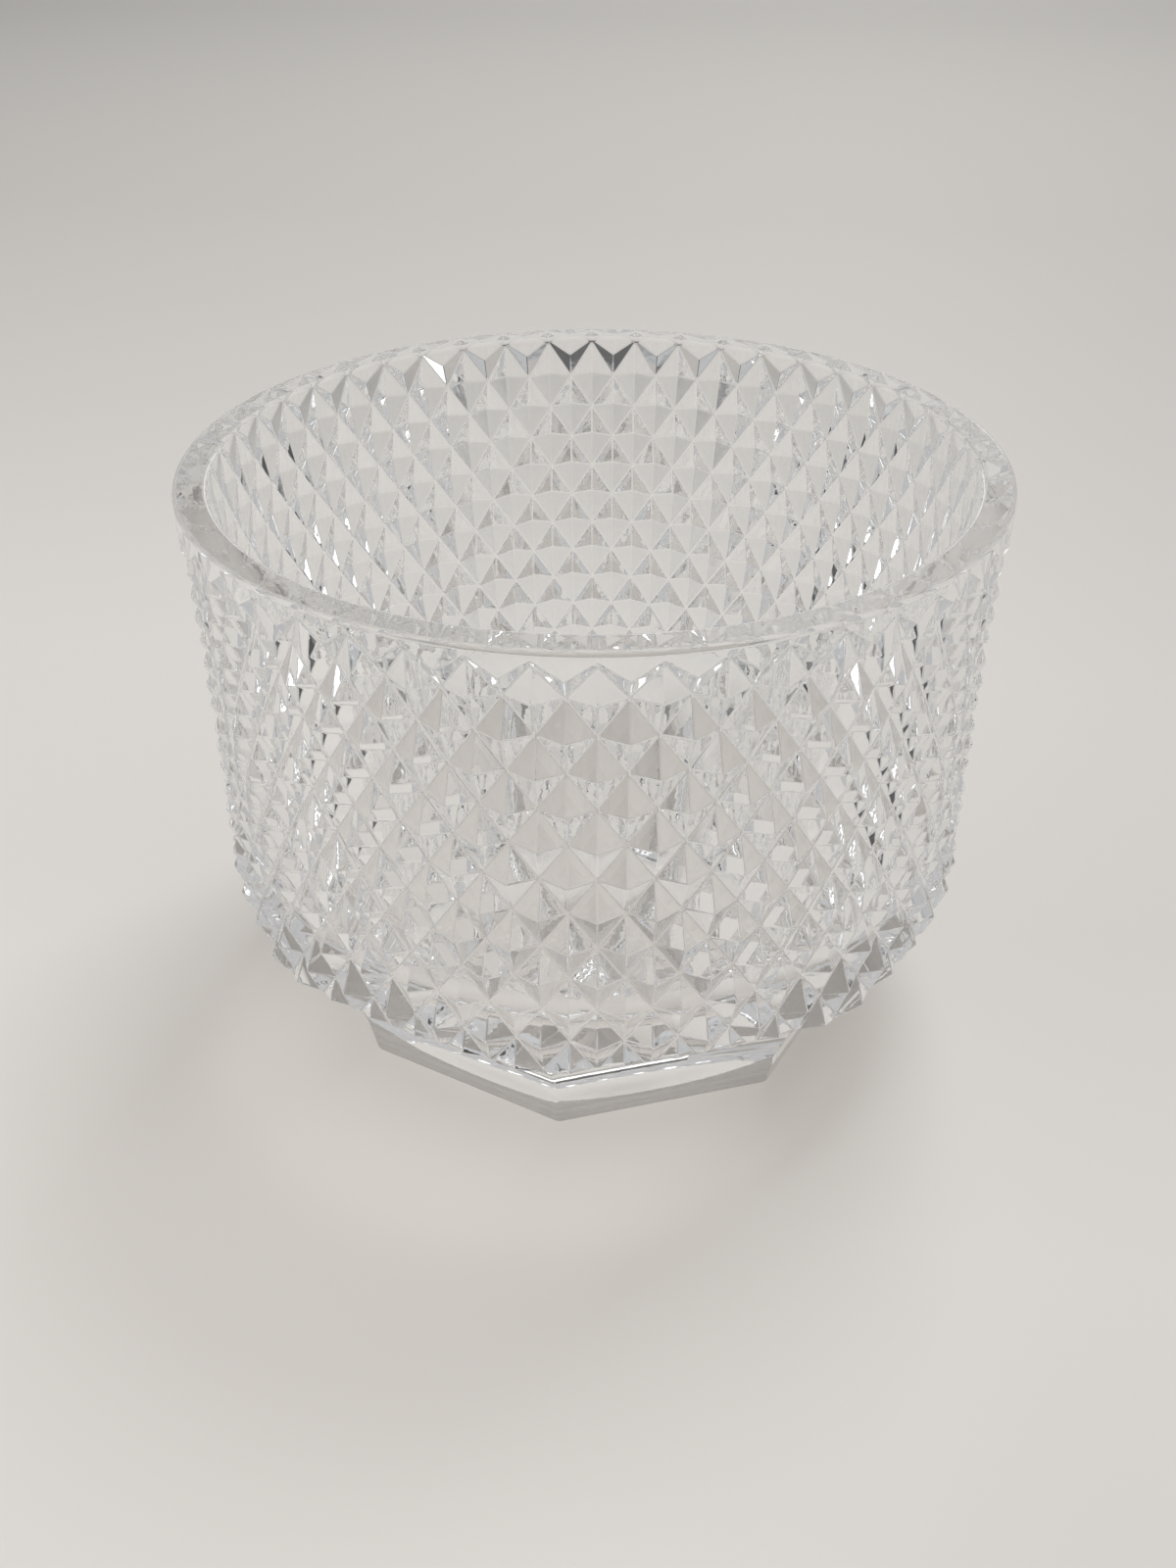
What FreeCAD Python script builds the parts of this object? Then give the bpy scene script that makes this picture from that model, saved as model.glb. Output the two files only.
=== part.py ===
import FreeCAD, Part
import math
import os

# A squat whisky tumbler of clear pressed glass, in millimetres.
# The glass is one piece: a smooth round inside, a smooth band under the rim, a wall
# covered with diamond-point pyramids between crossing V-grooves, and an eight-sided foot.
# Frame: +Z up along the axis of the glass, origin at the centre of the foot's underside,
# one corner of the foot towards -Y.

DIMENSIONS = {
    # the blank, before it gets its grooves
    "rim_radius": 48.0,          # outer radius of the smooth band under the rim
    "total_height": 72.0,
    "rim_wall": 3.9,             # width of the rim, seen from above
    "rim_round": 0.65,           # radius of the rim's inner and outer edges
    "floor_thickness": 15.5,     # glass under the middle of the inside
    "inside_taper": 3.7,         # how much narrower the inside is at its floor than at its mouth
    "inside_corner_round": 13.0,
    # the pyramids
    "pyramids_per_side": 6.0,    # pyramids in one ring, over one side of the foot
    "groove_end_drop": 1.6,      # from the rim down to the top ends of the grooves
    "groove_end_depth": 0.25,    # what is left of the grooves' depth at those ends
    "band_lip": 1.2,             # how far past the band the grooves' upper sides aim
    "row_spacing": 4.34,         # height from one ring of groove crossings to the next
    "crossing_setback": 2.7,     # from the band in to the groove crossings on the straight wall
    "flare": 1.3,                # how much further out the crossings would be at the rim
    "flare_start": 21.0,         # height at which the wall starts to flare
    "pyramid_height": 1.75,      # points above the crossings
    # the eight-sided base; its radii are to the corners
    "foot_sides": 8.0,
    "foot_bottom_radius": 34.9,
    "foot_top_radius": 36.2,
    "foot_top_height": 5.2,
    "cove_start_slope": 74.0,    # degrees above level, where the cove leaves the foot
    "edge_inset": 1.2,           # from the band in to the corner where the cove meets the wall
    "edge_height": 18.4,
    # the hollow ground into the middle of the foot's underside
    "base_hollow_radius": 24.0,
    "base_hollow_depth": 1.2,
}

doc = FreeCAD.newDocument("tumbler")
sheet = doc.addObject("Spreadsheet::Sheet", "Dimensions")
for row, (alias, value) in enumerate(DIMENSIONS.items(), start=1):
    sheet.set("A%d" % row, alias)
    sheet.set("B%d" % row, str(value))
    sheet.setAlias("B%d" % row, alias)
doc.recompute()


def size(alias):
    """The present value of one named cell."""
    return float(sheet.get(alias))


def bind(thing, prop, expression):
    """Tie one property to the sheet; a bare word between angle brackets is a cell."""
    for alias in DIMENSIONS:
        expression = expression.replace("<%s>" % alias, "Dimensions.%s" % alias)
    thing.setExpression(prop, expression)


def mouth_radius():
    return size("rim_radius") - size("rim_wall")


def rounded(name, base, roundings):
    """The base with the circles named by (height, radius, rounding) rounded off."""
    feature = doc.addObject("Part::Fillet", name)
    feature.Base = base
    edges = []
    for number, edge in enumerate(base.Shape.Edges, start=1):
        if not isinstance(edge.Curve, Part.Circle):
            continue
        for height, radius, rounding in roundings:
            level = abs(edge.Curve.Center.z - height) < 0.01
            if level and abs(edge.Curve.Radius - radius) < 0.01:
                edges.append((number, rounding, rounding))
    feature.Edges = edges
    doc.recompute()
    return feature


def round_blank():
    """The round blank: a plain drum with a tapering round inside and rounded edges."""
    drum = doc.addObject("Part::Cylinder", "Drum")
    bind(drum, "Radius", "<rim_radius>")
    bind(drum, "Height", "<total_height>")
    inside = doc.addObject("Part::Cone", "Inside")
    bind(inside, "Radius1", "<rim_radius> - <rim_wall> - <inside_taper>")
    bind(inside, "Radius2", "<rim_radius> - <rim_wall>")
    bind(inside, "Height", "<total_height> - <floor_thickness>")
    bind(inside, "Placement.Base.z", "<floor_thickness>")
    hollowed = doc.addObject("Part::Cut", "HollowedDrum")
    hollowed.Base = drum
    hollowed.Tool = inside
    doc.recompute()
    top = size("total_height")
    inside_floor_radius = mouth_radius() - size("inside_taper")
    return rounded("RoundBlank", hollowed, [
        (top, size("rim_radius"), size("rim_round")),
        (top, mouth_radius(), size("rim_round")),
        (size("floor_thickness"), inside_floor_radius, size("inside_corner_round")),
    ])


def crossing_radius(height):
    """Radius of the groove crossings at a height: straight below, flared towards the rim."""
    start = size("flare_start")
    rise = max(0.0, height - start) / (size("total_height") - start)
    return size("rim_radius") - size("crossing_setback") + size("flare") * rise ** 3


def grooved_envelope():
    """A closed solid whose side is the field of pyramids between the crossing grooves.

    Ring 0 holds the top ends of the grooves. Every second half pitch of a ring is a
    crossing, and the ones between are pyramid points. Above ring 0 the solid steps out
    past the blank, and below the last ring it drops straight to the foot.
    """
    pyramids = int(round(size("pyramids_per_side"))) * int(round(size("foot_sides")))
    half_turn = math.pi / pyramids
    top_height = size("total_height") - size("groove_end_drop")
    rings = int(top_height / size("row_spacing")) - 1
    beyond = size("rim_radius") + size("band_lip") + size("pyramid_height")

    def rim_node(radius, height, step):
        angle = step * half_turn
        return FreeCAD.Vector(radius * math.sin(angle), -radius * math.cos(angle), height)

    def node(ring, step):
        height = top_height - ring * size("row_spacing")
        is_point = (ring + step) % 2
        if ring == 0:
            radius = size("rim_radius") + (size("band_lip") if is_point else -size("groove_end_depth"))
        else:
            radius = crossing_radius(height) + (size("pyramid_height") if is_point else 0.0)
        return rim_node(radius, height, step)

    def face(*points):
        return Part.Face(Part.makePolygon(list(points) + [points[0]]))

    faces = []
    steps = 2 * pyramids
    lid = size("total_height") + size("row_spacing")
    for step in range(steps):
        after = step + 1
        for ring in range(rings):
            a, b = node(ring, step), node(ring, after)
            c, d = node(ring + 1, step), node(ring + 1, after)
            # the groove runs from crossing to crossing, so the diagonal joins the crossings
            if (ring + step) % 2:
                faces += [face(a, b, c), face(b, d, c)]
            else:
                faces += [face(a, b, d), face(a, d, c)]
        low, low_next = node(rings, step), node(rings, after)
        ground = rim_node(crossing_radius(0), 0, step)
        ground_next = rim_node(crossing_radius(0), 0, after)
        faces += [face(low, low_next, ground), face(low_next, ground_next, ground)]
        high, high_next = node(0, step), node(0, after)
        out = rim_node(beyond, top_height, step)
        out_next = rim_node(beyond, top_height, after)
        faces += [face(high, out, high_next), face(high_next, out, out_next)]
        up, up_next = rim_node(beyond, lid, step), rim_node(beyond, lid, after)
        faces += [face(out, up, out_next), face(out_next, up, up_next)]
    faces.append(face(*[rim_node(crossing_radius(0), 0, s) for s in range(steps)]))
    faces.append(face(*[rim_node(beyond, lid, s) for s in range(steps)]))
    shell = Part.makeShell(faces)
    shell.sewShape()
    solid = Part.makeSolid(Part.Shell(shell.Faces))
    if solid.Volume < 0:
        solid.reverse()
    feature = doc.addObject("Part::Feature", "GroovedEnvelope")
    feature.Shape = solid
    return feature


def octagon(name, radius_expression, height_expression):
    """A level regular polygon with one corner towards -Y."""
    outline = doc.addObject("Part::RegularPolygon", name)
    bind(outline, "Polygon", "<foot_sides>")
    bind(outline, "Circumradius", radius_expression)
    bind(outline, "Placement.Base.z", height_expression)
    bind(outline, "Placement.Rotation.Angle", "-90")
    return outline


def cove_expressions(share):
    """Radius and height on the cove's arc, at a share of the way from the foot to the edge."""
    run = "(<rim_radius> - <edge_inset> - <foot_top_radius>)"
    rise = "(<edge_height> - <foot_top_height>)"
    chord_slope = "atan(%s / %s)" % (rise, run)
    start = "(<cove_start_slope> * 1 deg)"
    end = "(2 * %s - %s)" % (chord_slope, start)
    slope = "(%s + %s * (%s - %s))" % (start, share, end, start)
    arc = "(%s / (sin(%s) - sin(%s)))" % (run, start, end)
    radius = "<foot_top_radius> + %s * (sin(%s) - sin(%s))" % (arc, start, slope)
    height = "<foot_top_height> + %s * (cos(%s) - cos(%s))" % (arc, slope, start)
    return radius, height, "tan(%s)" % end


def eight_sided_envelope():
    """The foot, the hollow cove above it and the end of the underside, as a stack of flats."""
    levels = [octagon("FootBottom", "<foot_bottom_radius>", "0")]
    cove_flats = 6
    for number in range(cove_flats + 1):
        radius, height, end_slope = cove_expressions(number / cove_flats)
        levels.append(octagon("Cove%d" % number, radius, height))
    # past the edge the underside runs on, straight, until it is clear of the round wall
    past = "<band_lip> + <pyramid_height> + <rim_radius>"
    clear_radius = "<rim_radius> - <edge_inset> + (%s)" % past
    clear_height = "<edge_height> + (%s) * %s" % (past, end_slope)
    levels.append(octagon("UndersideEnd", clear_radius, clear_height))
    levels.append(octagon("OutsideTop", clear_radius, "(%s) + <total_height>" % clear_height))
    loft = doc.addObject("Part::Loft", "EightSidedEnvelope")
    loft.Sections = levels
    loft.Solid = True
    loft.Ruled = True
    return loft


def base_hollow():
    """The shallow round hollow under the foot, a slice of a ball."""
    ball = doc.addObject("Part::Sphere", "BaseHollow")
    reach = "((<base_hollow_radius>^2 + <base_hollow_depth>^2) / (2 * <base_hollow_depth>))"
    bind(ball, "Radius", reach)
    bind(ball, "Placement.Base.z", "<base_hollow_depth> - " + reach)
    return ball


def tumbler_glass():
    """The glass: the part of the blank that is inside both envelopes, less the hollow."""
    solids = [round_blank(), grooved_envelope(), eight_sided_envelope()]
    hollow = base_hollow()
    cut = doc.addObject("Part::MultiCommon", "CutGlass")
    cut.Shapes = solids
    glass = doc.addObject("Part::Cut", "TumblerGlass")
    glass.Base = cut
    glass.Tool = hollow
    glass.Label = "tumbler_glass"
    return glass


pieces = [tumbler_glass()]
doc.recompute()

for thing in doc.Objects:
    if "Invalid" in thing.State or "Error" in thing.State:
        raise RuntimeError("%s did not build: %s" % (thing.Name, thing.State))
for piece in pieces:
    shape = piece.Shape
    if shape.isNull() or not shape.isValid() or len(shape.Solids) != 1:
        raise RuntimeError("%s is not one valid solid" % piece.Label)

os.makedirs("parts", exist_ok=True)
for piece in pieces:
    piece.Shape.exportStep("parts/%s.step" % piece.Label)
    box = piece.Shape.BoundBox
    print(piece.Label, "volume %.0f" % piece.Shape.Volume, "faces", len(piece.Shape.Faces), box)
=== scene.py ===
import math
import bpy
import numpy as np
from collections import namedtuple
from mathutils import Matrix, Vector

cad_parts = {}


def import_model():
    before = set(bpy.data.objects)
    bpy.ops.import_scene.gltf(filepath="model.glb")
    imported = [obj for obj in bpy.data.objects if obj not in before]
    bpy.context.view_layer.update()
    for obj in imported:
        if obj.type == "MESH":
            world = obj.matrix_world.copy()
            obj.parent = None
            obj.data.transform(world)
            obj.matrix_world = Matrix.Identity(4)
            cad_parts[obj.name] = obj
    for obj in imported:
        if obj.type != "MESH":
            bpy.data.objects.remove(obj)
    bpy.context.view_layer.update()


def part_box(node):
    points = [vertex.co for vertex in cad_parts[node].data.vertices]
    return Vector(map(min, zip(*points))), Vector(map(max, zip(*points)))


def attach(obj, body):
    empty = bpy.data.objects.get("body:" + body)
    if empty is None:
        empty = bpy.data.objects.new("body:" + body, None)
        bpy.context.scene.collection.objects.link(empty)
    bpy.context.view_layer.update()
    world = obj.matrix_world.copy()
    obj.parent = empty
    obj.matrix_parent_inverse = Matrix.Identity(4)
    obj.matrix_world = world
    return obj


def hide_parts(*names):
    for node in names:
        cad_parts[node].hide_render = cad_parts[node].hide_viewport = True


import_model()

# ---- the glass, in millimetres ----

MM = 0.001
LOW, HIGH = [np.array(corner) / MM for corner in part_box("tumbler_glass")]
TOP = float(HIGH[2])
RIM_RADIUS = float(HIGH[0] - LOW[0]) / 2

# the round blank
RIM_WALL = 3.9
RIM_ROUND = 0.65
FLOOR = 15.5
INSIDE_TAPER = 3.7                      # from the mouth's radius to the floor's
MOUTH_RADIUS = RIM_RADIUS - RIM_WALL
INSIDE_FLOOR_RADIUS = MOUTH_RADIUS - INSIDE_TAPER
INSIDE_CORNER_ROUND = 13.0

# the pyramids; a step is half a pitch, and a ring is a level of groove crossings
SIDES = 8
PYRAMIDS_PER_SIDE = 6
STEPS_PER_SIDE = 2 * PYRAMIDS_PER_SIDE
STEPS = SIDES * STEPS_PER_SIDE
RINGS = 14
RING_SPACING = 4.34
CROSSING_SETBACK = 2.7
CROSSING_RADIUS = RIM_RADIUS - CROSSING_SETBACK
FLARE = 1.3
FLARE_START = 21.0
PYRAMID_HEIGHT = 1.75
GROOVE_END_DROP = 1.6
GROOVE_END_DEPTH = 0.25
GROOVE_END_RISE = 0.35
BAND_LIP = 1.2

# the eight-sided base; radii are to its corners, and slopes are below level going inwards
FOOT_BOTTOM_RADIUS = 34.9
FOOT_TOP_RADIUS = 36.2
FOOT_TOP = 5.2
EDGE_INSET = 1.2
EDGE_RADIUS = RIM_RADIUS - EDGE_INSET
EDGE_HEIGHT = 18.4
BASE_HOLLOW_RADIUS = 24.0
BASE_HOLLOW_DEPTH = 1.2
APOTHEM = math.cos(math.pi / SIDES)
CHORD_SLOPE = math.atan2(EDGE_HEIGHT - FOOT_TOP, EDGE_RADIUS - FOOT_TOP_RADIUS)
COVE_START_SLOPE = math.radians(74.0)
COVE_END_SLOPE = 2 * CHORD_SLOPE - COVE_START_SLOPE
COVE_ARC = (EDGE_RADIUS - FOOT_TOP_RADIUS) / (math.sin(COVE_START_SLOPE) - math.sin(COVE_END_SLOPE))
# the cove stops here and runs on as a plane out to the cut wall
UNDERSIDE_INNER_RADIUS = 45.1
UNDERSIDE_INNER_HEIGHT = EDGE_HEIGHT - (EDGE_RADIUS - UNDERSIDE_INNER_RADIUS) * math.tan(COVE_END_SLOPE)

# how finely the round surfaces are divided
ROUND_COLUMNS = 2 * STEPS
RIM_ARC_PARTS = 6
CORNER_ARC_PARTS = 14
HOLLOW_ARC_PARTS = 5
COVE_PARTS = 10
WALL_SHARES = (0.0, 0.25, 0.5, 0.75, 1.0)
FLOOR_SHARES = (1.0, 0.6, 0.25, 0.0)

# how far each edge's rounding reaches into the faces beside it
ROUND_PYRAMID = 0.18
ROUND_BASE = 0.3
SMOOTH_EDGE = math.cos(math.radians(9.0))       # faces that meet flatter than this aren't rounded
NEARLY_STRAIGHT = 0.98                          # cosine at a corner that hardly turns
LEAST_SQUARE = 0.05                             # keeps a very sharp corner from moving too far

# how exact the mesh is
SAME_POINT = 1e-4
WELD_DIGITS = 3
MERGE_DIGITS = 4
HALVINGS = 40
MOST_FACES_ABOUT = 40       # more meet only in the middle of a turned surface, which isn't rounded

# ---- the finish ----

GLASS_COLOUR = (0.98, 0.982, 0.982, 1)
GLASS_IOR = 1.52
# the faint waves and haze that pressing leaves in the glass
GLASS_WAVES_PER_METRE = 280.0
GLASS_WAVE_DETAIL = 3.0
GLASS_WAVE_STRENGTH = 0.25
GLASS_WAVE_DEPTH = 0.1 * MM
GLASS_HAZE = 0.03
GLASS_HAZE_FROM, GLASS_HAZE_TO = 0.45, 0.75     # heights of the waves where haze starts and is full
# what each surface lets through to the shadow, hit straight on and hit at a slant
SHADOW_STRAIGHT = (0.92, 0.912, 0.906, 1)
SHADOW_SLANTED = (0.72, 0.71, 0.70, 1)

# ---- the paper that the glass stands on, in metres ----

PAPER_SIZE = 6.0
PAPER_ROUGHNESS = 0.9
PAPER_TINT = (1.0, 0.963, 0.914)
# (place, shade) stops of painted shade, darker towards the back; place 0 is at PAPER_NEAR along Y and
# place 1 is at PAPER_FAR
PAPER_NEAR, PAPER_FAR = -0.10, 0.90
PAPER_PAINTED_SHADES = ((0.0, 0.725), (0.05, 0.73), (0.11, 0.66), (0.18, 0.63), (0.25, 0.57),
                (0.31, 0.53), (0.39, 0.49), (0.5, 0.45), (0.95, 0.385))
# painted shade: the right side is painted darker, by the last factor below in full where X is over
# PAPER_SIDE * (Y + PAPER_FAN)
PAPER_FAN = 0.3
PAPER_SIDE = 0.3
PAPER_RIGHT_PAINTED_SHADE = 0.88
# painted light: the paper under the glass is painted brighter, standing in for the light that the glass
# gathers there
PAINTED_LIGHT_RADIUS = 0.036
PAINTED_LIGHT_FULL = 0.7                               # share of that radius where the gain is full
PAINTED_LIGHT_GAIN = 1.14
# far away the paper fades into one colour, which is also what the camera sees past it
FADE_START, FADE_END = 0.9, 1.6
FAR_COLOUR = (0.485, 0.463, 0.44, 1)

# ---- the room that the glass mirrors and bends: (upward part of the direction, shade) stops ----

ROOM_LIGHT = (0.42, 0.42, 0.42, 1)              # the even light that it gives
ROOM_TINT = (0.97, 0.98, 1.0)
ROOM_FRONT = ((-0.3, 0.56), (0.0, 0.48), (0.3, 0.48), (0.7, 0.54), (1.0, 0.58))
ROOM_BACK = ((-0.3, 0.52), (-0.02, 0.5), (-0.01, 0.10), (0.025, 0.08), (0.035, 0.5), (0.5, 0.5),
             (1.0, 0.55))
BACK_START, BACK_FULL = 0.1, 0.6                # Y parts of the direction where front turns to back
DARK_PATCH = (-0.26, 0.77, 0.57)                # towards one dark thing up behind the glass
DARK_PATCH_SIZE = math.radians(17.0)
DARK_PATCH_CORE = 0.8                           # share of that size where it is darkest
DARK_PATCH_COLOUR = (0.03, 0.03, 0.03, 1)

# ---- lamps and camera, in metres and watts ----

# name, place, size, power, and whether the glass mirrors it
LAMPS = (
    ("key", (0.3, 0.68, 1.22), (0.6, 0.5), 15.8, False),
    ("window", (-0.03, 1.2, 0.31), (0.8, 0.19), 0.7, True),
    ("fill", (0.9, -0.2, 0.9), (0.8, 0.8), 1.0, False),
)
CAMERA_AZIMUTH = math.radians(7.1)              # of the camera's place, from -Y towards +X
CAMERA_DISTANCE = 0.18195                       # level distance from the axis
CAMERA_HEIGHT = 0.14381
CAMERA_TILT = math.radians(32.74)               # below level
CAMERA_PAN = math.radians(-7.35)
CAMERA_ROLL = math.radians(-0.13)
SENSOR_WIDTH = 36.0                             # millimetres, as is the lens
LENS = 50.7
CLIP_START = 0.01

GLASS_BOUNCES = 32
SEE_THROUGH_BOUNCES = 64


# ---- points and polygons ----

def around(radius, angle, height):
    """A point at an angle from -Y towards +X."""
    return np.array([radius * math.sin(angle), -radius * math.cos(angle), height])


def step_angle(step):
    return step * 2 * math.pi / STEPS


def pairs(items):
    """Each item with the next one, and the last with the first."""
    return zip(items, items[1:] + items[:1])


def newell(points):
    """The unit normal of a polygon."""
    total = np.zeros(3)
    for p, q in pairs(points):
        total += np.cross(p, q)
    return total / (np.linalg.norm(total) or 1.0)


def clipped(points, inside):
    """The part of a polygon where inside() is not negative, and the points that the cut made."""
    kept, cut = [], []
    values = [inside(p) for p in points]
    for (p, q), (a, b) in zip(pairs(points), pairs(values)):
        if a >= 0:
            kept.append(p)
        if a * b < 0:
            low, high = (p, q) if a < 0 else (q, p)
            for _ in range(HALVINGS):
                middle = (low + high) / 2
                low, high = (middle, high) if inside(middle) < 0 else (low, middle)
            kept.append(high)
            cut.append(high)
    return kept, cut


class Surface:
    """The closed skin of the glass as polygons, each with the normal it should show."""

    def __init__(self):
        self.polygons = []      # (points, function from a point to its normal, rounding)

    def add(self, points, normal_at, rounding):
        clean = [p for p, q in pairs(points) if np.linalg.norm(p - q) > SAME_POINT]
        if len(clean) >= 3:
            self.polygons.append((clean, normal_at, rounding))

    def add_flat(self, points, rounding):
        normal = newell(points)
        self.add(points, lambda point: normal, rounding)


# ---- the outside: pyramids, band and base ----

def crossing_radius(height):
    """The radius of the groove crossings, which flares towards the rim."""
    rise = max(0.0, height - FLARE_START) / (TOP - FLARE_START)
    return CROSSING_RADIUS + FLARE * rise ** 3


def wall_point(ring, step):
    """A groove crossing, or the pyramid's point between two of them."""
    height = TOP - GROOVE_END_DROP - ring * RING_SPACING
    is_point = (ring + step) % 2
    if ring == 0:
        radius = RIM_RADIUS + (BAND_LIP if is_point else -GROOVE_END_DEPTH)
    else:
        radius = crossing_radius(height) + (PYRAMID_HEIGHT if is_point else 0.0)
    return around(radius, step_angle(step), height)


def inside_band(p):
    """How far a point lies inside the round of the smooth band."""
    return RIM_RADIUS - math.hypot(p[0], p[1])


def side_normal(step):
    """The level direction that the base's side over this step faces."""
    middle = (step * SIDES // STEPS + 0.5) * 2 * math.pi / SIDES
    return np.array([math.sin(middle), -math.cos(middle), 0.0])


def above_underside(step):
    """A function that is positive above the plane that ends this side of the wall."""
    outward = side_normal(step)
    rise = math.tan(COVE_END_SLOPE) / APOTHEM
    edge = EDGE_RADIUS * APOTHEM
    return lambda p: float(p[2] - EDGE_HEIGHT - (p @ outward - edge) * rise)


def outer_wall(surface):
    """The field of pyramids, and the underside's planes where they end it."""
    for step in range(STEPS):
        above = above_underside(step)
        cuts = []
        for ring in range(RINGS):
            a, b = wall_point(ring, step), wall_point(ring, step + 1)
            c, d = wall_point(ring + 1, step), wall_point(ring + 1, step + 1)
            facets = [[a, c, b], [b, c, d]] if (ring + step) % 2 else [[a, d, b], [a, c, d]]
            for facet in facets:
                if ring == 0:
                    facet, _ = clipped(facet, inside_band)
                kept, cut = clipped(facet, above)
                if len(kept) >= 3:
                    surface.add_flat(kept, ROUND_PYRAMID)
                if len(cut) == 2:
                    cuts.append(cut)
        underside_plane(surface, step, cuts)


def underside_plane(surface, step, cuts):
    """The plane under one step of the wall, from the cove's top out to the cut facets."""
    middle = step_angle(step + 0.5)
    across = np.array([math.cos(middle), math.sin(middle), 0.0])
    ordered = [sorted(cut, key=lambda p: p @ across) for cut in cuts]
    ordered.sort(key=lambda cut: (cut[0] + cut[1]) @ across)
    outline = [point for cut in ordered for point in cut]
    inner = base_edge(UNDERSIDE_INNER_RADIUS, UNDERSIDE_INNER_HEIGHT, step)
    surface.add_flat(inner + outline[::-1], ROUND_PYRAMID)


def band(surface):
    """The smooth band under the rim, down to the zigzag where the grooves end."""
    height = TOP - GROOVE_END_DROP
    top = TOP - RIM_ROUND
    columns = ROUND_COLUMNS // STEPS

    def radial(p):
        return np.array([p[0], p[1], 0.0]) / math.hypot(p[0], p[1])

    def where_it_meets_the_band(inner, outer):
        found, _ = clipped([inner, outer, outer], inside_band)
        return found[-1]

    for step in range(STEPS):
        end_step, tip_step = (step, step + 1) if step % 2 == 0 else (step + 1, step)
        groove_end = wall_point(0, end_step)
        above_end = around(RIM_RADIUS, step_angle(end_step), height + GROOVE_END_RISE)
        beside = where_it_meets_the_band(groove_end, wall_point(0, tip_step))
        tip = where_it_meets_the_band(wall_point(1, tip_step), wall_point(0, tip_step))
        rim = [around(RIM_RADIUS, step_angle(step + i / columns), top) for i in range(columns + 1)]
        if step % 2 == 0:
            surface.add([above_end, beside, tip] + rim[::-1], radial, ROUND_PYRAMID)
            surface.add_flat([groove_end, beside, above_end], ROUND_PYRAMID)
        else:
            surface.add([tip, beside, above_end] + rim[::-1], radial, ROUND_PYRAMID)
            surface.add_flat([groove_end, above_end, beside], ROUND_PYRAMID)


def base_point(corner_radius, height, step):
    """The point at a step's angle on the level octagon with this corner radius."""
    from_middle = ((step % STEPS_PER_SIDE) / STEPS_PER_SIDE - 0.5) * 2 * math.pi / SIDES
    radius = corner_radius * APOTHEM / math.cos(from_middle)
    return around(radius, step_angle(step), height)


def base_edge(corner_radius, height, step):
    """The two ends of one step's stretch of that octagon."""
    return [base_point(corner_radius, height, s) for s in (step, step + 1)]


def cove_slope(radius):
    """The slope of the cove where its corners are at this radius."""
    return math.asin(math.sin(COVE_START_SLOPE) - (radius - FOOT_TOP_RADIUS) / COVE_ARC)


def cove_levels():
    """(corner radius, height, slope) from the cove's top down to the foot."""
    top_slope = cove_slope(UNDERSIDE_INNER_RADIUS)
    levels = [(UNDERSIDE_INNER_RADIUS, UNDERSIDE_INNER_HEIGHT, top_slope)]
    for i in range(1, COVE_PARTS + 1):
        slope = top_slope + (COVE_START_SLOPE - top_slope) * i / COVE_PARTS
        radius = FOOT_TOP_RADIUS + COVE_ARC * (math.sin(COVE_START_SLOPE) - math.sin(slope))
        height = FOOT_TOP + COVE_ARC * (math.cos(slope) - math.cos(COVE_START_SLOPE))
        levels.append((radius, height, slope))
    return levels


def cove_normal(outward, levels):
    """The normal at each height of one side of the cove."""
    heights = [height for _, height, _ in levels[::-1]]
    slopes = [slope for _, _, slope in levels[::-1]]

    def normal_at(p):
        flat = math.atan(math.tan(np.interp(p[2], heights, slopes)) / APOTHEM)
        return outward * math.sin(flat) - np.array([0, 0, math.cos(flat)])

    return normal_at


def base(surface):
    """The cove, the foot and the flat ring that the glass stands on."""
    levels = cove_levels()
    for step in range(STEPS):
        normal_at = cove_normal(side_normal(step), levels)
        for upper, lower in zip(levels, levels[1:]):
            top = base_edge(upper[0], upper[1], step)
            bottom = base_edge(lower[0], lower[1], step)
            surface.add([top[0], bottom[0], bottom[1], top[1]], normal_at, ROUND_BASE)
        top = base_edge(FOOT_TOP_RADIUS, FOOT_TOP, step)
        bottom = base_edge(FOOT_BOTTOM_RADIUS, 0.0, step)
        hollow = [around(BASE_HOLLOW_RADIUS, step_angle(s), 0.0) for s in (step, step + 1)]
        surface.add_flat([top[0], bottom[0], bottom[1], top[1]], ROUND_BASE)
        surface.add_flat([bottom[0], hollow[0], hollow[1], bottom[1]], ROUND_BASE)


# ---- turned surfaces: rim, inside and the hollow under the foot ----

def profile_normal(start, end):
    """The normal along one stretch of a turned profile, blended between its two ends."""
    (r0, z0, nr0, nz0), (r1, z1, nr1, nz1) = start, end

    def normal_at(p):
        radius = math.hypot(p[0], p[1])
        along = (radius - r0) * (r1 - r0) + (p[2] - z0) * (z1 - z0)
        share = min(1.0, max(0.0, along / ((r1 - r0) ** 2 + (z1 - z0) ** 2)))
        nr, nz = nr0 + (nr1 - nr0) * share, nz0 + (nz1 - nz0) * share
        ring = np.array([p[0], p[1], 0.0]) / (radius or 1.0)
        return (ring * nr + np.array([0, 0, nz])) / math.hypot(nr, nz)

    return normal_at


def turned(surface, profile, columns, rounding):
    """Turn a profile of (radius, height, outward part, upward part of the normal) about the axis."""
    for start, end in zip(profile, profile[1:]):
        normal_at = profile_normal(start, end)
        (r0, z0), (r1, z1) = start[:2], end[:2]
        for i in range(columns):
            a, b = i * 2 * math.pi / columns, (i + 1) * 2 * math.pi / columns
            quad = [around(r0, a, z0), around(r0, b, z0), around(r1, b, z1), around(r1, a, z1)]
            surface.add(quad, normal_at, rounding)


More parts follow.
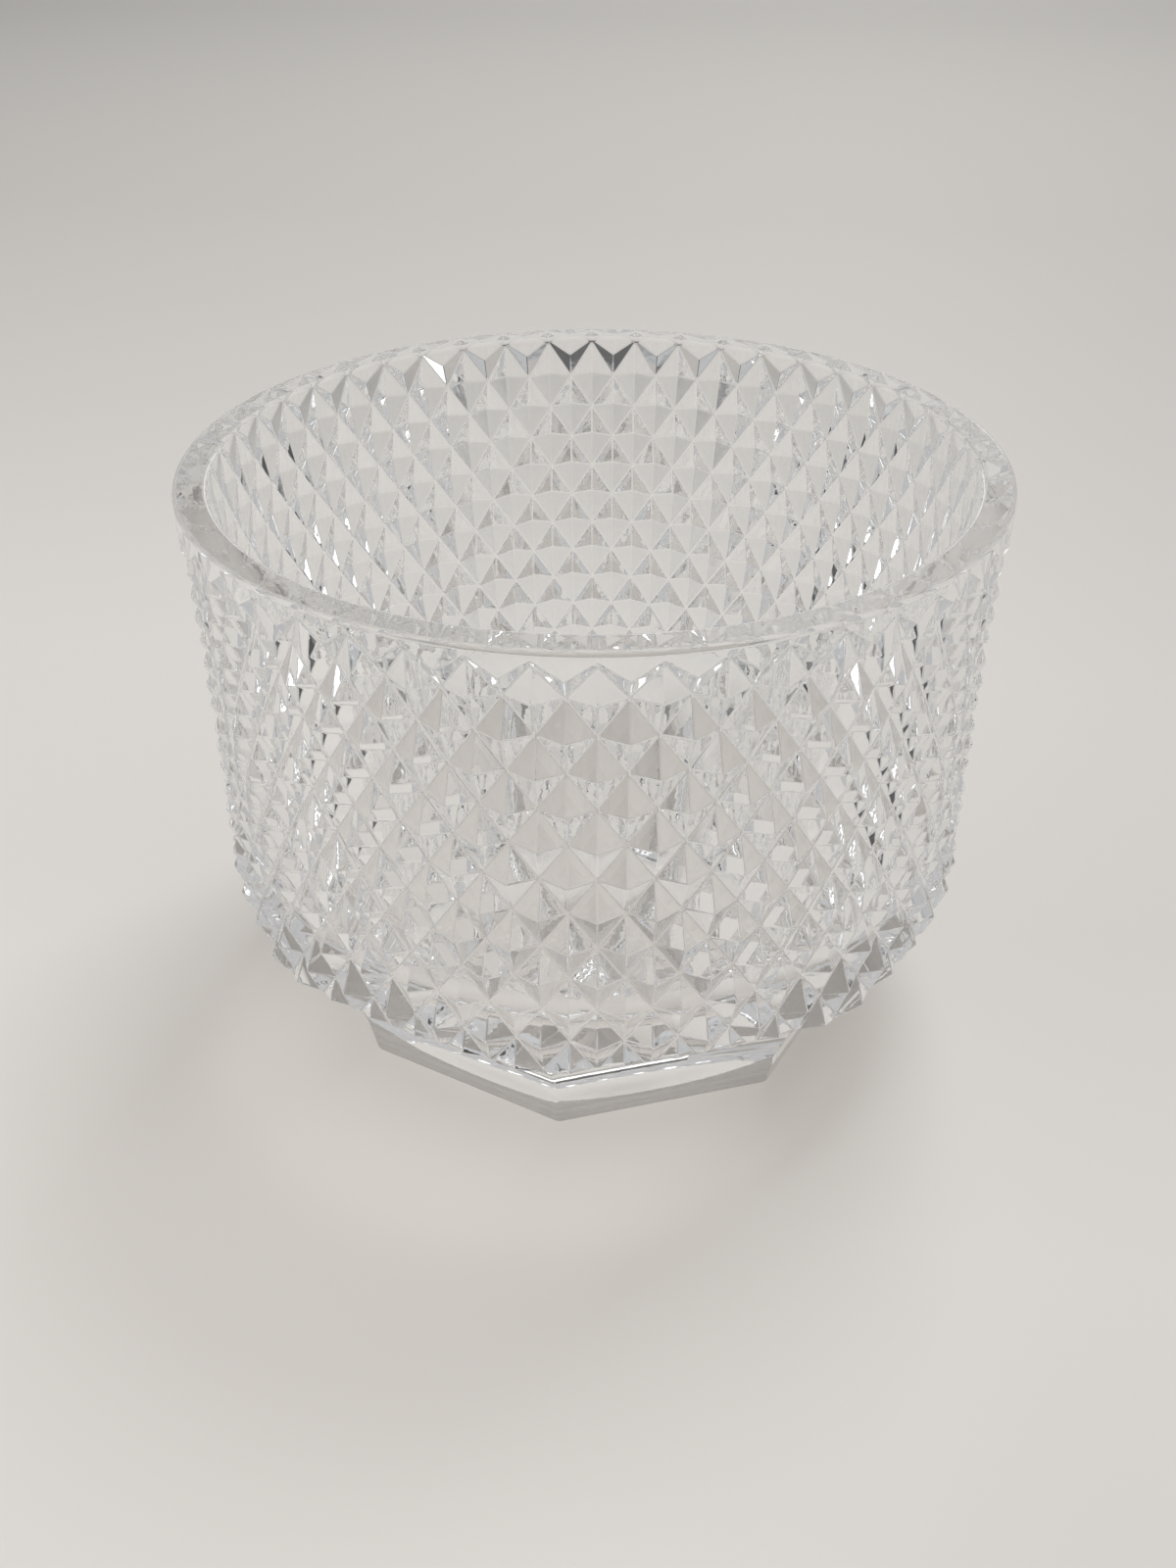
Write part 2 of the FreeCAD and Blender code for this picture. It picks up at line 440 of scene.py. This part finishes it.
def arc_profile(centre, radius, start, end, count, sign=1.0):
    """Profile points on an arc; angles are from outward towards up, sign -1 for a hollow."""
    points = []
    for i in range(count + 1):
        angle = start + (end - start) * i / count
        cosine, sine = math.cos(angle), math.sin(angle)
        points.append((centre[0] + radius * cosine, centre[1] + radius * sine,
                       sign * cosine, sign * sine))
    return points


def rim_and_inside(surface):
    """Over the rim, down the tapering inside and across the floor."""
    taper = math.atan2(MOUTH_RADIUS - INSIDE_FLOOR_RADIUS, TOP - FLOOR)
    touch = math.tan(math.pi / 4 - taper / 2)       # reach of an arc that touches wall and level
    outer = arc_profile((RIM_RADIUS - RIM_ROUND, TOP - RIM_ROUND), RIM_ROUND,
                        0, math.pi / 2, RIM_ARC_PARTS)
    inner = arc_profile((MOUTH_RADIUS + RIM_ROUND * touch, TOP - RIM_ROUND), RIM_ROUND,
                        math.pi / 2, math.pi - taper, RIM_ARC_PARTS)
    corner = arc_profile((INSIDE_FLOOR_RADIUS - INSIDE_CORNER_ROUND * touch, FLOOR + INSIDE_CORNER_ROUND),
                         INSIDE_CORNER_ROUND, -taper, -math.pi / 2, CORNER_ARC_PARTS, sign=-1.0)
    inward = (-math.cos(taper), math.sin(taper))
    wall_top, wall_bottom = np.array(inner[-1][:2]), np.array(corner[0][:2])
    wall = [tuple(wall_top * (1 - s) + wall_bottom * s) + inward for s in WALL_SHARES]
    floor_points = [(corner[-1][0] * s, FLOOR, 0.0, 1.0) for s in FLOOR_SHARES]
    level_top = (inner[0][0], TOP, 0.0, 1.0)
    profile = outer + [level_top] + inner[1:] + wall[1:-1] + corner + floor_points[1:]
    turned(surface, profile, ROUND_COLUMNS, 0.0)


def base_hollow(surface):
    """The shallow hollow ground into the underside, a slice of a ball."""
    ball = (BASE_HOLLOW_RADIUS ** 2 + BASE_HOLLOW_DEPTH ** 2) / (2 * BASE_HOLLOW_DEPTH)
    half = math.asin(BASE_HOLLOW_RADIUS / ball)
    profile = arc_profile((0.0, BASE_HOLLOW_DEPTH - ball), ball,
                          math.pi / 2, math.pi / 2 - half, HOLLOW_ARC_PARTS, sign=-1.0)
    turned(surface, profile, STEPS, ROUND_BASE)


# ---- from polygons to a mesh with rounded edges ----

Face = namedtuple("Face", "ring normal_at rounding flat")


class Welder:
    """Gives one number to all points that agree to some digits."""

    def __init__(self, digits):
        self.digits = digits
        self.numbers = {}
        self.points = []

    def number(self, point):
        key = tuple(np.round(point, self.digits))
        if key not in self.numbers:
            self.numbers[key] = len(self.points)
            self.points.append(point)
        return self.numbers[key]


def without_repeats(ring):
    """A ring of numbers with each run of the same number cut to one."""
    kept = ring[:1] + [q for p, q in zip(ring, ring[1:]) if p != q]
    if kept[0] == kept[-1]:
        kept.pop()
    return kept


def corner_move(before, after, width_before, width_after):
    """The move that takes a corner in from its two edges by their widths."""
    together = before @ after
    if together > NEARLY_STRAIGHT:
        return after * max(width_before, width_after)
    square = max(1 - together ** 2, LEAST_SQUARE)
    return (before * (width_before - together * width_after) / square
            + after * (width_after - together * width_before) / square)


class RoundedSkin:
    """The polygons joined into one closed skin, with a narrow sloping strip along each edge."""

    def __init__(self, surface):
        self.weld(surface.polygons)
        self.points, self.normals, self.rings = [], [], []
        self.corner_of = {}             # (face, vertex): the point where that corner went
        for number in range(len(self.faces)):
            self.draw_in(number)
        self.fill_edges()
        self.fill_corners()

    def weld(self, polygons):
        """Make the faces, and note which of them owns each directed edge."""
        welder = Welder(WELD_DIGITS)
        self.vertices = welder.points
        self.faces, self.owner = [], {}
        for points, normal_at, rounding in polygons:
            ring = without_repeats([welder.number(p) for p in points])
            if len(ring) >= 3:
                flat = newell([self.vertices[i] for i in ring])
                self.owner.update((edge, len(self.faces)) for edge in pairs(ring))
                self.faces.append(Face(ring, normal_at, rounding, flat))

    def edge_rounding(self, number, start, end):
        """How far the rounding of a face's edge reaches; 0 where it runs on smoothly."""
        if (end, start) not in self.owner:
            return 0.0
        one, other = self.faces[number], self.faces[self.owner[(end, start)]]
        middle = (self.vertices[start] + self.vertices[end]) / 2
        if one.normal_at(middle) @ other.normal_at(middle) > SMOOTH_EDGE:
            return 0.0
        return min(one.rounding, other.rounding)

    def draw_in(self, number):
        """Draw one face in from its edges by their rounding, at most half way to its middle."""
        face = self.faces[number]
        ring = [self.vertices[i] for i in face.ring]
        area = abs(sum(np.cross(p - ring[0], q - ring[0]) @ face.flat for p, q in pairs(ring))) / 2
        widest = area / sum(np.linalg.norm(q - p) for p, q in pairs(ring))
        inward, width = [], []
        for (start, end), (p, q) in zip(pairs(face.ring), pairs(ring)):
            inward.append(np.cross(face.flat, (q - p) / np.linalg.norm(q - p)))
            width.append(min(self.edge_rounding(number, start, end), widest))
        new_ring = []
        for i, vertex in enumerate(face.ring):
            point = ring[i] + corner_move(inward[i - 1], inward[i], width[i - 1], width[i])
            self.corner_of[(number, vertex)] = len(self.points)
            new_ring.append(len(self.points))
            self.points.append(point)
            self.normals.append(face.normal_at(point))
        self.rings.append(new_ring)

    def fill_edges(self):
        """Put a strip between each two faces that share an edge."""
        for (start, end), number in self.owner.items():
            other = self.owner.get((end, start))
            if other is not None and start < end:
                self.rings.append([self.corner_of[(number, end)], self.corner_of[(number, start)],
                                   self.corner_of[(other, start)], self.corner_of[(other, end)]])

    def fill_corners(self):
        """Put a small face where three or more faces meet."""
        done = set()
        for number, face in enumerate(self.faces):
            for vertex in face.ring:
                if vertex in done:
                    continue
                done.add(vertex)
                ring = [self.corner_of[(near, vertex)] for near in self.faces_about(vertex, number)]
                if len(ring) >= 3:
                    self.rings.append(ring)

    def faces_about(self, vertex, first):
        """The faces round a vertex in turn, from the first."""
        found, current = [], first
        for _ in range(MOST_FACES_ABOUT):
            found.append(current)
            ring = self.faces[current].ring
            current = self.owner.get((vertex, ring[ring.index(vertex) - 1]))
            if current is None or current == first:
                break
        return found

    def mesh(self, name):
        """Weld points that fell together, drop empty faces and set the normals."""
        welder = Welder(MERGE_DIGITS)
        index = [welder.number(point) for point in self.points]
        sums = np.zeros((len(welder.points), 3))
        for number, normal in zip(index, self.normals):
            sums[number] += normal
        rings = [without_repeats([index[i] for i in ring]) for ring in self.rings]
        rings = [ring for ring in rings if len(ring) >= 3 and len(set(ring)) == len(ring)]
        mesh = bpy.data.meshes.new(name)
        mesh.from_pydata([tuple(p * MM) for p in welder.points], [], rings)
        mesh.validate()
        mesh.shade_smooth()
        mesh.normals_split_custom_set_from_vertices([tuple(n / np.linalg.norm(n)) for n in sums])
        return mesh


def glass_piece():
    surface = Surface()
    outer_wall(surface)
    band(surface)
    base(surface)
    rim_and_inside(surface)
    base_hollow(surface)
    mesh = RoundedSkin(surface).mesh("tumbler_cut_glass")
    piece = bpy.data.objects.new("tumbler_cut_glass", mesh)
    bpy.context.scene.collection.objects.link(piece)
    piece.data.materials.append(clear_glass())
    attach(piece, "root")
    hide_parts("tumbler_glass")
    return piece


# ---- materials ----

class Shader:
    """A node tree, with a short call for each kind of node that comes up often."""

    def __init__(self, tree):
        self.nodes, self.links = tree.nodes, tree.links

    def add(self, kind, inputs=None, **settings):
        """A new node; each input gets a number or colour, or is joined to a socket."""
        made = self.nodes.new("ShaderNode" + kind)
        for name, value in settings.items():
            setattr(made, name, value)
        for name, value in (inputs or {}).items():
            self.feed(made.inputs[name], value)
        return made

    def feed(self, socket, value):
        if isinstance(value, bpy.types.NodeSocket):
            self.links.new(value, socket)
        else:
            socket.default_value = value

    def math(self, operation, a, b):
        return self.add("Math", {0: a, 1: b}, operation=operation).outputs[0]

    def share(self, value, start, end, low=0.0, high=1.0, kind="LINEAR"):
        """Goes from low to high as the value goes from start to end, and stays there."""
        inputs = {"Value": value, "From Min": start, "From Max": end, "To Min": low, "To Max": high}
        return self.add("MapRange", inputs, interpolation_type=kind).outputs["Result"]

    def mix_colour(self, factor, a, b):
        return self.add("Mix", {"Factor": factor, "A": a, "B": b}, data_type="RGBA").outputs["Result"]

    def mix_shader(self, factor, a, b):
        return self.add("MixShader", {"Fac": factor, 1: a, 2: b}).outputs["Shader"]

    def ramp(self, value, stops, tint):
        """One tint in the given (place, shade) stops."""
        made = self.add("ValToRGB", {"Fac": value})
        elements = made.color_ramp.elements
        elements.remove(elements[1])
        for number, (place, shade) in enumerate(stops):
            stop = elements.new(place) if number else elements[0]
            stop.position = place
            stop.color = tuple(shade * part for part in tint) + (1,)
        return made.outputs["Color"]

    def any_ray(self, first, *others):
        """1 for rays of any of the kinds named, else 0."""
        path = self.add("LightPath")
        result = path.outputs[first]
        for kind in others:
            result = self.math("MAXIMUM", result, path.outputs[kind])
        return result


def new_material(name):
    material = bpy.data.materials.new(name)
    material.use_nodes = True
    material.node_tree.nodes.clear()
    return material, Shader(material.node_tree)


def clear_glass():
    """Polished clear glass; lamps shine through it, a little dimmed at each surface."""
    material, shader = new_material("clear_glass")
    place = shader.add("TexCoord").outputs["Object"]
    waves = shader.add("TexNoise", {"Vector": place, "Scale": GLASS_WAVES_PER_METRE,
                                    "Detail": GLASS_WAVE_DETAIL}).outputs["Fac"]
    bump = shader.add("Bump", {"Height": waves, "Strength": GLASS_WAVE_STRENGTH,
                               "Distance": GLASS_WAVE_DEPTH})
    haze = shader.share(waves, GLASS_HAZE_FROM, GLASS_HAZE_TO, high=GLASS_HAZE)
    glass = shader.add("BsdfPrincipled", {"Base Color": GLASS_COLOUR, "IOR": GLASS_IOR,
                                          "Transmission Weight": 1.0, "Roughness": haze,
                                          "Normal": bump.outputs["Normal"]})
    slant = shader.add("LayerWeight", {"Blend": 0.5}).outputs["Facing"]
    dimmed = shader.mix_colour(slant, SHADOW_STRAIGHT, SHADOW_SLANTED)
    see_through = shader.add("BsdfTransparent", {"Color": dimmed})
    lighting = shader.any_ray("Is Shadow Ray", "Is Diffuse Ray")
    surface = shader.mix_shader(lighting, glass.outputs["BSDF"], see_through.outputs["BSDF"])
    shader.add("OutputMaterial", {"Surface": surface})
    return material


def floor_paper():
    """Warm white paper, with painted shade that makes it a little darker towards the back and the right,
    and painted light that makes it brighter under the glass.
    """
    material, shader = new_material("floor_paper")
    place = shader.add("TexCoord").outputs["Object"]
    apart = shader.add("SeparateXYZ", {0: place})
    distance = shader.add("VectorMath", {0: place}, operation="LENGTH").outputs["Value"]
    depth = shader.share(apart.outputs["Y"], PAPER_NEAR, PAPER_FAR)
    # painted shade: the paper darkens towards the back
    colour = shader.ramp(depth, PAPER_PAINTED_SHADES, PAPER_TINT)
    fan = shader.math("DIVIDE", apart.outputs["X"], shader.math("ADD", apart.outputs["Y"], PAPER_FAN))
    # painted shade: darker on the right side
    side = shader.share(fan, 0.0, PAPER_SIDE, 1.0, PAPER_RIGHT_PAINTED_SHADE, "SMOOTHSTEP")
    # painted light: brighter paper under the glass
    under = shader.share(distance, PAINTED_LIGHT_FULL * PAINTED_LIGHT_RADIUS, PAINTED_LIGHT_RADIUS,
                         PAINTED_LIGHT_GAIN, 1.0, "SMOOTHSTEP")
    shade = shader.math("MULTIPLY", side, under)
    shaded = shader.add("VectorMath", {0: colour, "Scale": shade}, operation="SCALE").outputs[0]
    paper = shader.add("BsdfPrincipled", {"Base Color": shaded, "Roughness": PAPER_ROUGHNESS})
    fade = shader.share(distance, FADE_START, FADE_END, kind="SMOOTHSTEP")
    seen = shader.any_ray("Is Glossy Ray", "Is Transmission Ray", "Is Camera Ray")
    far = shader.add("Emission", {"Color": FAR_COLOUR})
    surface = shader.mix_shader(shader.math("MULTIPLY", fade, seen),
                                paper.outputs["BSDF"], far.outputs["Emission"])
    shader.add("OutputMaterial", {"Surface": surface})
    return material


# ---- stage, lights and camera ----

def floor():
    bpy.ops.mesh.primitive_plane_add(size=PAPER_SIZE, location=(0, 0, 0))
    plane = bpy.context.object
    plane.name = "floor"
    plane.data.materials.append(floor_paper())


def soft_lamp(name, location, size, power, mirrored):
    """A soft box aimed at the glass; one that is not mirrored only gives light."""
    lamp = bpy.data.lights.new(name, "AREA")
    lamp.shape = "RECTANGLE"
    lamp.size, lamp.size_y = size
    lamp.energy = power
    item = bpy.data.objects.new(name, lamp)
    item.location = location
    item.rotation_euler = (-Vector(location)).to_track_quat("-Z", "Y").to_euler()
    item.visible_glossy = mirrored
    item.visible_transmission = mirrored
    bpy.context.scene.collection.objects.link(item)


def world():
    """Even light, and for what the glass mirrors and bends: a room, brighter and darker by height."""
    room = bpy.data.worlds.new("room")
    bpy.context.scene.world = room
    room.use_nodes = True
    shader = Shader(room.node_tree)
    direction = shader.add("TexCoord").outputs["Generated"]
    apart = shader.add("SeparateXYZ", {0: direction})
    height = shader.share(apart.outputs["Z"], -1.0, 1.0)
    front, back = [shader.ramp(height, [((z + 1) / 2, shade) for z, shade in stops], ROOM_TINT)
                   for stops in (ROOM_FRONT, ROOM_BACK)]
    behind = shader.share(apart.outputs["Y"], BACK_START, BACK_FULL)
    walls = shader.mix_colour(behind, front, back)
    towards = shader.add("VectorMath", {0: direction, 1: tuple(Vector(DARK_PATCH).normalized())},
                         operation="DOT_PRODUCT").outputs["Value"]
    patch = shader.share(towards, math.cos(DARK_PATCH_SIZE), math.cos(DARK_PATCH_SIZE * DARK_PATCH_CORE))
    patched = shader.mix_colour(patch, walls, DARK_PATCH_COLOUR)
    mirrored = shader.mix_colour(shader.any_ray("Is Glossy Ray", "Is Transmission Ray"),
                                 ROOM_LIGHT, patched)
    seen = shader.mix_colour(shader.any_ray("Is Camera Ray"), mirrored, FAR_COLOUR)
    shader.feed(room.node_tree.nodes["Background"].inputs["Color"], seen)


def camera():
    data = bpy.data.cameras.new("camera")
    data.sensor_fit = "HORIZONTAL"
    data.sensor_width = SENSOR_WIDTH
    data.lens = LENS
    data.clip_start = CLIP_START
    item = bpy.data.objects.new("camera", data)
    item.location = tuple(around(CAMERA_DISTANCE, CAMERA_AZIMUTH, CAMERA_HEIGHT))
    item.rotation_mode = "XYZ"
    look = Matrix.Rotation(-CAMERA_PAN, 4, "Z") @ Matrix.Rotation(math.pi / 2 - CAMERA_TILT, 4, "X")
    item.rotation_euler = (look @ Matrix.Rotation(CAMERA_ROLL, 4, "Z")).to_euler()
    bpy.context.scene.collection.objects.link(item)
    bpy.context.scene.camera = item


def light_settings():
    """A plain picture of written colours, with enough bounces for the cut glass."""
    scene = bpy.context.scene
    scene.view_settings.view_transform = "Standard"
    scene.cycles.max_bounces = GLASS_BOUNCES
    scene.cycles.transmission_bounces = GLASS_BOUNCES
    scene.cycles.glossy_bounces = GLASS_BOUNCES
    scene.cycles.transparent_max_bounces = SEE_THROUGH_BOUNCES
    scene.cycles.caustics_reflective = False
    scene.cycles.caustics_refractive = False


camera()
glass_piece()
floor()
world()
for lamp_values in LAMPS:
    soft_lamp(*lamp_values)
light_settings()
